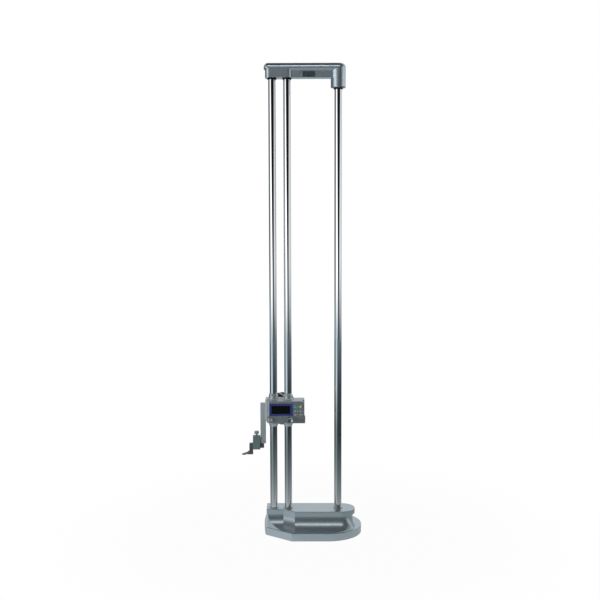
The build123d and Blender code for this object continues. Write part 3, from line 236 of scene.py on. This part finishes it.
def make_room():
    world = bpy.data.worlds.new("Studio room")
    world.use_nodes = True
    bpy.context.scene.world = world
    tree = world.node_tree
    tree.nodes.clear()
    spot = node(tree, "ShaderNodeTexCoord").outputs["Generated"]
    axes = node(tree, "ShaderNodeSeparateXYZ", {0: spot}).outputs
    lift = remap(tree, axes["Z"], *GAP_RISE, *GAP_RISE, smooth=False)
    squeeze = maths(tree, "ADD", maths(tree, "MULTIPLY", lift, GAP_GROWTH), 1.0)
    angle = compass(tree, axes["X"], axes["Y"])
    narrowed = maths(tree, "DIVIDE", maths(tree, "SUBTRACT", angle, GAP_MIDDLE), squeeze)
    gap = compass_ramp(tree, maths(tree, "ADD", narrowed, GAP_MIDDLE), GAP)
    walls = mix_colour(tree, gap, BLACK, compass_ramp(tree, angle, WALLS))
    low = compass_ramp(tree, angle, LOW_WALLS, FLOOR_TINT)
    walls = mix_colour(tree, remap(tree, axes["Z"], *LOW_TO_EYE), low, walls)
    upper = compass_ramp(tree, angle, UPPER_WALLS)
    room = mix_colour(tree, remap(tree, axes["Z"], *EYE_TO_UPPER), walls, upper)
    ceiling = (CEILING, CEILING, CEILING, 1.0)
    room = mix_colour(tree, remap(tree, axes["Z"], *UPPER_TO_CEILING), room, ceiling)
    ray = node(tree, "ShaderNodeLightPath").outputs
    colour = mix_colour(tree, ray["Is Camera Ray"], room, WHITE)
    background = node(tree, "ShaderNodeBackground", {"Color": colour, "Strength": 1.0})
    out = node(tree, "ShaderNodeOutputWorld")
    tree.links.new(background.outputs[0], out.inputs["Surface"])


make_room()
print("room:", len(WALLS) + len(LOW_WALLS) + len(UPPER_WALLS), "tones round the compass")


# %% [markdown]
# ## The table
# The table has three jobs. To the camera it is white, with a trace of the
# shadow under the gauge. To light that scatters it is plain pale grey. In a
# polished part it shows a patch of its own light round the gauge, which falls
# off into a dark floor, and that patch turns the lower ends of the columns grey.

# %% Table
TABLE_HALF = 4.0
TABLE_GREY = 0.40            # how pale the table is to scattered light
SHADOW_PALE = 0.9            # how pale the part of the camera's view is that takes the shadow
TABLE_WHITE = 0.97           # share of the camera's view of the table that is plain white
SHADOW_NEAR, SHADOW_FAR = 0.08, 0.22     # where the shadow's share fades out to plain white
PATCH = [                    # distance from the gauge, as a share of half the table, and how pale
    (0.0, 0.58), (0.055, 0.50), (0.085, 0.30), (0.107, 0.24),
    (0.165, 0.145), (0.23, 0.09), (0.31, 0.04), (0.57, 0.06), (0.7, 0.09), (1.0, 0.16),
]
LAMP_SIDE = [                # the same towards the pale wall at the left
    (0.0, 0.66), (0.055, 0.58), (0.085, 0.44), (0.107, 0.40),
    (0.165, 0.30), (0.23, 0.25), (0.31, 0.27), (0.57, 0.70), (0.7, 0.72), (1.0, 0.70),
]
COOL_FROM = 0.2              # distance beyond which the patch has its full tint
LAMP_COMPASS = [             # compass angle, and share of the lamp's side in the patch
    (-180, 0.0), (-84, 0.0), (-70, 1.0), (-27, 1.0), (-15, 0.0), (180, 0.0),
]


def patch_ramp(tree, share, stops):
    """Colour ramp over the distance from the gauge, cooler further out."""
    made = node(tree, "ShaderNodeValToRGB", {0: share})
    coloured = []
    for place, level in stops:
        cool = min(1.0, place / COOL_FROM)
        coloured.append((place, [level * (1.0 + cool * (tint - 1.0)) for tint in FLOOR_TINT]))
    return fill_ramp(made, coloured)


def mix_shader(tree, factor, a, b):
    """Shader a where the factor is 0, shader b where it is 1."""
    return node(tree, "ShaderNodeMixShader", {0: factor, 1: a.outputs[0], 2: b.outputs[0]})


def make_table():
    mesh = bpy.data.meshes.new("table")
    corners = [(-TABLE_HALF, -TABLE_HALF, 0), (TABLE_HALF, -TABLE_HALF, 0)]
    corners += [(TABLE_HALF, TABLE_HALF, 0), (-TABLE_HALF, TABLE_HALF, 0)]
    mesh.from_pydata(corners, [], [(0, 1, 2, 3)])
    table = bpy.data.objects.new("table", mesh)
    bpy.context.scene.collection.objects.link(table)
    made = bpy.data.materials.new("table top")
    made.use_nodes = True
    tree = made.node_tree
    tree.nodes.clear()
    spot = node(tree, "ShaderNodeTexCoord").outputs["Object"]
    axes = node(tree, "ShaderNodeSeparateXYZ", {0: spot}).outputs
    reach = node(tree, "ShaderNodeVectorMath", {0: spot}, operation="LENGTH").outputs["Value"]
    share = maths(tree, "DIVIDE", reach, TABLE_HALF)
    lamp_side = compass_ramp(tree, compass(tree, axes["X"], axes["Y"]), LAMP_COMPASS)
    patch = patch_ramp(tree, share, PATCH)
    patch = mix_colour(tree, lamp_side, patch, patch_ramp(tree, share, LAMP_SIDE))
    ray = node(tree, "ShaderNodeLightPath").outputs
    grey = node(tree, "ShaderNodeBsdfDiffuse", {"Color": (*[TABLE_GREY] * 3, 1)})
    shown = node(tree, "ShaderNodeEmission", {"Color": patch, "Strength": 1.0})
    pale = node(tree, "ShaderNodeBsdfDiffuse", {"Color": (*[SHADOW_PALE] * 3, 1)})
    white = node(tree, "ShaderNodeEmission", {"Color": WHITE, "Strength": 1.0})
    whiteness = remap(tree, share, SHADOW_NEAR, SHADOW_FAR, TABLE_WHITE, 1.0)
    view = mix_shader(tree, whiteness, pale, white)
    mirrored = mix_shader(tree, ray["Is Glossy Ray"], grey, shown)
    top = mix_shader(tree, ray["Is Camera Ray"], mirrored, view)
    out = node(tree, "ShaderNodeOutputMaterial")
    tree.links.new(top.outputs[0], out.inputs["Surface"])
    made.cycles.emission_sampling = "NONE"
    mesh.materials.append(made)


make_table()
print("table:", 2 * TABLE_HALF, "m square")


# %% [markdown]
# ## Soft boxes
# Two soft boxes light the gauge. The tall one at the left brightens every
# facet that faces it; the one above and in front lights the deck and leaves a
# band in the hollow of the base. The left one is hidden from mirrored rays, so
# that the columns show the pale walls of the room in its place.

# %% Lamps
def soft_box(name, centre, target, width, height, radiance):
    """An area lamp aimed at a point; its power follows from its size and radiance."""
    lamp = bpy.data.lights.new(name, "AREA")
    lamp.shape = "RECTANGLE"
    lamp.size, lamp.size_y = width, height
    lamp.energy = radiance * math.pi * width * height
    placed = bpy.data.objects.new(name, lamp)
    placed.location = centre
    placed.rotation_euler = (Vector(target) - Vector(centre)).to_track_quat("-Z", "Y").to_euler()
    placed.visible_camera = False
    bpy.context.scene.collection.objects.link(placed)
    print(name, "power:", round(lamp.energy, 1), "W")
    return placed


LEFT_PLACE, LEFT_AIM = (-2.3, -1.5, 0.7), (-0.03, -0.03, 0.4)
LEFT_WIDTH, LEFT_HEIGHT, LEFT_RADIANCE = 0.9, 1.5, 4.5
UPPER_PLACE, UPPER_AIM = (0.1, -2.5, 2.6), (-0.03, -0.03, 0.1)
UPPER_WIDTH, UPPER_HEIGHT, UPPER_RADIANCE = 2.2, 0.7, 2.0

left = soft_box("left soft box", LEFT_PLACE, LEFT_AIM, LEFT_WIDTH, LEFT_HEIGHT, LEFT_RADIANCE)
left.visible_glossy = False
soft_box("upper soft box", UPPER_PLACE, UPPER_AIM, UPPER_WIDTH, UPPER_HEIGHT, UPPER_RADIANCE)


# %% [markdown]
# ## Cast and painted parts
# The base and the top bracket are iron castings with a silver-grey paint, and
# the underside of the base is left as ground iron. A single flat grey would
# look like plastic. Here the paint is mostly metallic with a thin clear coat,
# which mirrors the room softly. A soft mottle varies its colour, the coat has
# a fine orange peel, and the bare lapped face is chosen by height.

# %% Casting paint
PAINT = (0.555, 0.66, 0.72)
# The bracket's paint is the base's paint made a little lighter: painted light that brightens the
# bracket's highlights.
BRACKET_PAINT_LIGHTENED = (0.61, 0.72, 0.79)       # a little brighter than the base's
BARE_IRON = (0.36, 0.36, 0.35)
LAPPED_HEIGHT = 0.0004       # the bare face reaches this far up, in metres
COAT, COAT_ROUGHNESS = 0.2, 0.1
MOTTLE, MOTTLE_SCALE = 0.03, 90.0
PAINT_CLOUD_SCALE = 260.0
PAINT_GLOSS = 0.95, 1.1      # smallest and largest share of the given roughness
PEEL_SCALE, PEEL_STRENGTH, PEEL_DEPTH = 320.0, 0.2, 0.000006
CLOUD_LOW, CLOUD_HIGH = 0.3, 0.7     # range of the noise that varies a roughness


def vary_roughness(tree, shader, cloud, roughness, gloss):
    """Spreads the roughness over a cloud of noise, between two shares of itself."""
    least, most = gloss
    rough = remap(tree, cloud, CLOUD_LOW, CLOUD_HIGH, roughness * least, roughness * most)
    plug(tree, rough, shader.inputs["Roughness"])


def casting_paint(name, colour, metallic, roughness):
    """Metallic paint under a thin coat, with the lowest face left bare."""
    made, tree, shader = finish(name, colour, roughness, metallic,
                                Coat_Weight=COAT, Coat_Roughness=COAT_ROUGHNESS)
    spot = place_on(tree)
    dark, light = shade_pair(colour, MOTTLE)
    paint = mix_colour(tree, grain(tree, spot, MOTTLE_SCALE, 4.0), dark, light)
    height = node(tree, "ShaderNodeSeparateXYZ", {0: spot}).outputs["Z"]
    bare = remap(tree, height, 2 * LAPPED_HEIGHT, LAPPED_HEIGHT)
    plug(tree, mix_colour(tree, bare, paint, (*BARE_IRON, 1.0)), shader.inputs["Base Color"])
    cloud = grain(tree, spot, PAINT_CLOUD_SCALE)
    vary_roughness(tree, shader, cloud, roughness, PAINT_GLOSS)
    peel = relief(tree, grain(tree, spot, PEEL_SCALE), PEEL_STRENGTH, PEEL_DEPTH)
    plug(tree, peel, shader.inputs["Coat Normal"])
    return made


# %% [markdown]
# ## Ground and plated steel
# The columns are hard-chromed and ground between centres, which leaves hair-
# fine rings round them. The rack is milled into the back of one column after
# grinding, so its teeth are plain oiled steel. The same recipe, rougher and
# darker, gives the jaw, the scriber and the screws their finish, with the
# lines turned to run along or across each part.

# %% Steels
LINE_SCALE, LINE_STRENGTH = 60.0, 0.25
CLOUD_SCALE = 45.0
GROUND_GLOSS = 0.85, 1.2


def steel_finish(name, colour, roughness, stretch, wear, line_depth, metallic=1.0):
    """Ground metal: long fine lines across the stretch, and softly varied roughness."""
    made, tree, shader = finish(name, colour, roughness, metallic)
    lines = grain(tree, place_on(tree, stretch), LINE_SCALE, 5.0)
    cloud = grain(tree, place_on(tree), CLOUD_SCALE, 3.0)
    dark, light = shade_pair(colour, wear)
    plug(tree, mix_colour(tree, cloud, dark, light), shader.inputs["Base Color"])
    vary_roughness(tree, shader, cloud, roughness, GROUND_GLOSS)
    plug(tree, relief(tree, lines, LINE_STRENGTH, line_depth), shader.inputs["Normal"])
    return made, tree, shader


CHROME = (0.80, 0.82, 0.84)
CHROME_ROUGHNESS = 0.035
CHROME_WEAR = 0.02
RING_DEPTH = 0.0000004
RACK_STEEL = (0.33, 0.33, 0.32)
RACK_ROUGHNESS = 0.06, 0.32          # on the chrome, on the milled steel
MILLED_TILT = 0.1, 0.2       # a face that looks up or down by more than this is milled
MILLED_EDGE = 0.001          # width of the change from chrome to steel
COLUMN_AXIS_Y = sum(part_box("rack_column")[i].y for i in (0, 1)) / 2
RINGS = (1.0, 1.0, 60.0)     # squeezes the noise along Z, so that its lines run round a rod
ALONG_Z = (40.0, 40.0, 1.0)  # lines that run up the part
ALONG_X = (1.0, 40.0, 40.0)  # lines that run across it


def ground_chrome(name):
    return steel_finish(name, CHROME, CHROME_ROUGHNESS, RINGS, CHROME_WEAR, RING_DEPTH)


def rack_chrome():
    """Chrome, with milled and oiled steel on the teeth behind the column's axis."""
    made, tree, shader = ground_chrome("Rack chrome")
    spot = place_on(tree)
    depth = node(tree, "ShaderNodeSeparateXYZ", {0: spot}).outputs["Y"]
    normal = node(tree, "ShaderNodeNewGeometry").outputs["Normal"]
    facing = node(tree, "ShaderNodeSeparateXYZ", {0: normal})
    tilt = remap(tree, maths(tree, "ABSOLUTE", facing.outputs["Z"]), *MILLED_TILT)
    behind = remap(tree, depth, COLUMN_AXIS_Y, COLUMN_AXIS_Y + MILLED_EDGE)
    milled = maths(tree, "MULTIPLY", tilt, behind)
    colour = mix_colour(tree, milled, (*CHROME, 1.0), (*RACK_STEEL, 1.0))
    plug(tree, colour, shader.inputs["Base Color"])
    plug(tree, remap(tree, milled, 0.0, 1.0, *RACK_ROUGHNESS), shader.inputs["Roughness"])
    return made


# %% [markdown]
# ## Mouldings
# The display housing, the wheel and the keys are moulded, with a fine even
# grain that takes the shine off the plastic. A noise bump gives that grain,
# and two larger noises vary the colour and the gloss a little. The felt, the
# rubber and the printed marks use the same recipe with other numbers.

# %% Plastics
MOULD_SHADES, MOULD_SHADE_SCALE = 0.05, 70.0
MOULD_CLOUD_SCALE = 110.0
MOULD_GLOSS = 0.9, 1.15
MOULD_COAT_ROUGHNESS = 0.05
GRAIN_STRENGTH = 0.35


def moulding(name, colour, roughness, grain_scale=1400.0, grain_depth=0.00001,
             coat=0.0, metallic=0.0):
    """Moulded surface: a fine bump, and a colour and gloss that vary a little."""
    made, tree, shader = finish(name, colour, roughness, metallic,
                                Coat_Weight=coat, Coat_Roughness=MOULD_COAT_ROUGHNESS)
    spot = place_on(tree)
    dark, light = shade_pair(colour, MOULD_SHADES)
    shade = mix_colour(tree, grain(tree, spot, MOULD_SHADE_SCALE, 3.0), dark, light)
    plug(tree, shade, shader.inputs["Base Color"])
    vary_roughness(tree, shader, grain(tree, spot, MOULD_CLOUD_SCALE), roughness, MOULD_GLOSS)
    fine = grain(tree, spot, grain_scale, 1.0)
    plug(tree, relief(tree, fine, GRAIN_STRENGTH, grain_depth), shader.inputs["Normal"])
    return made


WINDOW_TINT, WINDOW_ROUGHNESS = (0.02, 0.03, 0.032), 0.03
WINDOW_CLEARNESS, WINDOW_IOR = 0.7, 1.49
HAZE_SCALE = 200.0
HAZE_FROM, HAZE_TO = (0.35, 0.7), (0.02, 0.05)       # range of the noise, and of the roughness


def tinted_window():
    """Dark acrylic with a slight haze."""
    made, tree, shader = finish("Tinted window", WINDOW_TINT, WINDOW_ROUGHNESS,
                                Transmission_Weight=WINDOW_CLEARNESS, IOR=WINDOW_IOR)
    haze = remap(tree, grain(tree, place_on(tree), HAZE_SCALE), *HAZE_FROM, *HAZE_TO)
    plug(tree, haze, shader.inputs["Roughness"])
    return made


# %% [markdown]
# ## A finish for each part
# The record gives every part a material slot, and one dictionary gives each
# slot its finish. A few parts are meant to look a little different from the
# rest of their slot, so a second dictionary gives those a finish of their own.

# %% Finish for each node
def metal(*recipe):
    """The material alone, without its tree and shader."""
    return steel_finish(*recipe)[0]


# A metal row holds name, colour, roughness, run of the lines, wear, depth of the
# lines in metres and, where it isn't 1, how metallic the surface is.
FINISHES = {
    "casting_paint": casting_paint("Casting paint", PAINT, 0.72, 0.30),
    "chrome_rod": ground_chrome("Ground chrome")[0],
    "steel": metal("Turned steel", (0.62, 0.66, 0.68), 0.33, ALONG_X, 0.05, 0.000002, 0.8),
    "black_steel": metal("Blacked steel", (0.045, 0.046, 0.05), 0.34, RINGS, 0.2, 0.00001),
    "slider_metal": metal("Satin alloy", (0.86, 0.93, 0.97), 0.36, ALONG_X, 0.03, 0.000003, 0.1),
    "display_plastic": moulding("Display silver", (0.57, 0.64, 0.68), 0.32, metallic=0.76),
    "frame_blue": moulding("Bezel blue", (0.07, 0.085, 0.34), 0.28, coat=0.4),
    "window": tinted_window(),
    "lcd": moulding("Dark glass panel", (0.006, 0.011, 0.011), 0.32),
    "board": moulding("Circuit board green", (0.02, 0.11, 0.05), 0.35),
    "brass": metal("Bush bronze", (0.62, 0.45, 0.20), 0.25, RINGS, 0.08, 0.00001),
    "felt": moulding("Wool felt", (0.60, 0.58, 0.52), 0.95, 2600.0, 0.0003),
    "wheel_plastic": moulding("Wheel black", (0.012, 0.012, 0.013), 0.38),
    "chrome_trim": metal("Plated trim", (0.80, 0.82, 0.84), 0.16, RINGS, 0.03, 0.000003),
    "jaw_steel": metal("Jaw steel", (0.56, 0.63, 0.665), 0.36, ALONG_Z, 0.05, 0.000003, 0.15),
    "scriber_steel": metal(
        "Scriber steel", (0.28, 0.285, 0.28), 0.34, ALONG_X, 0.08, 0.000003, 0.7),
    "carbide": metal("Ground carbide", (0.20, 0.20, 0.20), 0.2, ALONG_X, 0.05, 0.000005),
    "key_teal": moulding("Teal key", (0.08, 0.72, 0.72), 0.32),
    "key_yellow": moulding("Yellow key", (0.85, 0.85, 0.27), 0.32),
    "key_grey": moulding("Grey key", (0.56, 0.68, 0.70), 0.32),
    "bumper_rubber": moulding("Bumper rubber", (0.012, 0.012, 0.012), 0.55),
    "print": moulding("Printed mark", (0.92, 0.93, 0.92), 0.5),
    "plate": metal("Plate enamel", (0.12, 0.15, 0.17), 0.3, ALONG_X, 0.06, 0.00001, 0.6),
}
OWN_FINISH = {
    "rack_column": rack_chrome(),
    # The bracket's paint is painted lighter than the base's, to brighten its highlights.
    "top_bracket": casting_paint("Bracket paint", BRACKET_PAINT_LIGHTENED, 0.97, 0.295),
    "scriber_clamp": metal("Clamp steel", (0.27, 0.37, 0.375), 0.34, ALONG_Z, 0.05, 0.000003, 0.2),
    "lock_screw": metal("Knurled nickel", (0.70, 0.77, 0.77), 0.34, ALONG_Z, 0.03, 0.000002, 0.3),
    "wiper_cones": metal("Turned alloy", (0.74, 0.81, 0.85), 0.335, RINGS, 0.03, 0.000003, 0.8),
}


SLOTS = {part["node"]: part["material_slot"] for part in frame["record"]["subparts"]}
for name, part in frame["nodes"].items():
    part.data.materials.clear()
    part.data.materials.append(OWN_FINISH.get(name) or FINISHES[SLOTS[name]])
print("finishes:", len(FINISHES) + len(OWN_FINISH), " nodes dressed:", len(SLOTS))


# %% [markdown]
# ## Printed marks beside the small keys
# Each small key has a short leaning bar printed beside it. Ink could be painted
# into the housing's material, but a mark that is a thin pad of its own keeps a
# crisp edge in a close view. One function lays a pad with rounded ends on a
# flat front. The record has no slot for ink, so the marks take the printed-mark
# finish.

# %% Marks
MARK_WIDTH = 0.0013
MARK_HEIGHT = 0.0030
MARK_LEAN = math.radians(-24)
MARK_PROUD = 0.00006         # thickness of the ink that shows
MARK_SUNK = 0.00004          # and of the pad inside the housing
MARK_OFFSET = 0.0052         # from the key's middle to the mark's
MARK_END_STEPS = 6
KEY_FRONT = 0.0013           # how far a key stands out of the housing
MARKED_KEYS = (3, 4, 5, 6)


def new_piece(name, maker, body, slot):
    """Turns a bmesh into an object that has a finish and rides on a body."""
    bmesh.ops.recalc_face_normals(maker, faces=maker.faces)
    mesh = bpy.data.meshes.new(name)
    maker.to_mesh(mesh)
    maker.free()
    piece = bpy.data.objects.new(name, mesh)
    bpy.context.scene.collection.objects.link(piece)
    piece.data.materials.append(FINISHES[slot])
    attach(piece, body)
    return piece


def bar_outline(width, height):
    """Upright bar with half-round ends, as points about its own middle."""
    radius = width / 2
    points = []
    for end in (1, -1):
        for step in range(MARK_END_STEPS + 1):
            angle = math.pi * step / MARK_END_STEPS + (0.0 if end > 0 else math.pi)
            up = end * (height / 2 - radius) + radius * math.sin(angle)
            points.append((radius * math.cos(angle), up))
    return points


def printed_bar(name, x, z, front):
    """A leaning bar of ink on a front face that looks towards the user."""
    maker = bmesh.new()
    rings = []
    for y in (front + MARK_SUNK, front - MARK_PROUD):
        ring = []
        for across, up in bar_outline(MARK_WIDTH, MARK_HEIGHT):
            turned_x = across * math.cos(MARK_LEAN) - up * math.sin(MARK_LEAN)
            turned_z = across * math.sin(MARK_LEAN) + up * math.cos(MARK_LEAN)
            ring.append(maker.verts.new((x + turned_x, y, z + turned_z)))
        rings.append(ring)
        maker.faces.new(ring)
    for i in range(len(rings[0])):
        j = (i + 1) % len(rings[0])
        maker.faces.new((rings[0][i], rings[0][j], rings[1][j], rings[1][i]))
    mark = new_piece(name, maker, "slider", "print")
    return mark


for number in MARKED_KEYS:
    low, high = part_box(f"key_{number}")
    middle = (low + high) / 2
    printed_bar(f"key_mark_{number}", middle.x + MARK_OFFSET, middle.z, low.y + KEY_FRONT)
print("marks:", len(MARKED_KEYS), " width:", MARK_WIDTH * 1000, "mm")


# %% [markdown]
# ## Thread of the thumb screw
# Between its knurled head and the clamp, the thumb screw shows a few turns of
# a 5 mm thread. A Screw modifier could sweep the profile; here a ridge with a
# triangular section is laid round the neck by a loop, which closes it at both
# ends and fades it out there, as a thread that runs out does.

# %% Thread
THREAD_PITCH = 0.0008
THREAD_DEPTH = 0.00032
THREAD_SUNK = 0.0001
THREAD_STEPS = 28            # per turn
NECK_RADIUS = 0.0025
CLAMP_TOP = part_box("scriber_clamp")[1].z
NECK_LENGTH = 0.005
NECK_TOP = CLAMP_TOP + NECK_LENGTH
THREAD_MARGIN = 0.0006       # plain neck left at both ends
RIDGE_HALF = 0.42            # half the ridge's foot, as a share of the pitch
RUN_OUT = 0.05               # share of the depth left where the thread ends


def thread_ridge(name, centre, low, high, body, slot):
    """Lays a triangular ridge round the neck; returns its number of turns."""
    maker = bmesh.new()
    turns = (high - low) / THREAD_PITCH
    count = round(turns * THREAD_STEPS)
    last = None
    for i in range(count + 1):
        angle = 2 * math.pi * i / THREAD_STEPS
        z = low + THREAD_PITCH * i / THREAD_STEPS
        fade = min(1.0, i / THREAD_STEPS, (count - i) / THREAD_STEPS)
        section = []
        crest = THREAD_DEPTH * max(fade, RUN_OUT)
        corners = ((-THREAD_SUNK, -RIDGE_HALF), (crest, 0.0), (-THREAD_SUNK, RIDGE_HALF))
        for proud, rise in corners:
            reach = NECK_RADIUS + proud
            x = centre.x + reach * math.cos(angle)
            y = centre.y + reach * math.sin(angle)
            section.append(maker.verts.new((x, y, z + rise * THREAD_PITCH)))
        if last is None:
            maker.faces.new(section)
        else:
            for k in range(3):
                m = (k + 1) % 3
                maker.faces.new((last[k], last[m], section[m], section[k]))
        last = section
    maker.faces.new(last)
    ridge = new_piece(name, maker, body, slot)
    return turns


screw_low, screw_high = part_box("thumb_screw")
screw_middle = (screw_low + screw_high) / 2
thread_turns = thread_ridge("thumb_screw_thread", screw_middle, CLAMP_TOP + THREAD_MARGIN,
                            NECK_TOP - THREAD_MARGIN, "thumb_screw", "steel")
print("thread:", round(thread_turns, 1), "turns of", THREAD_PITCH * 1000, "mm")
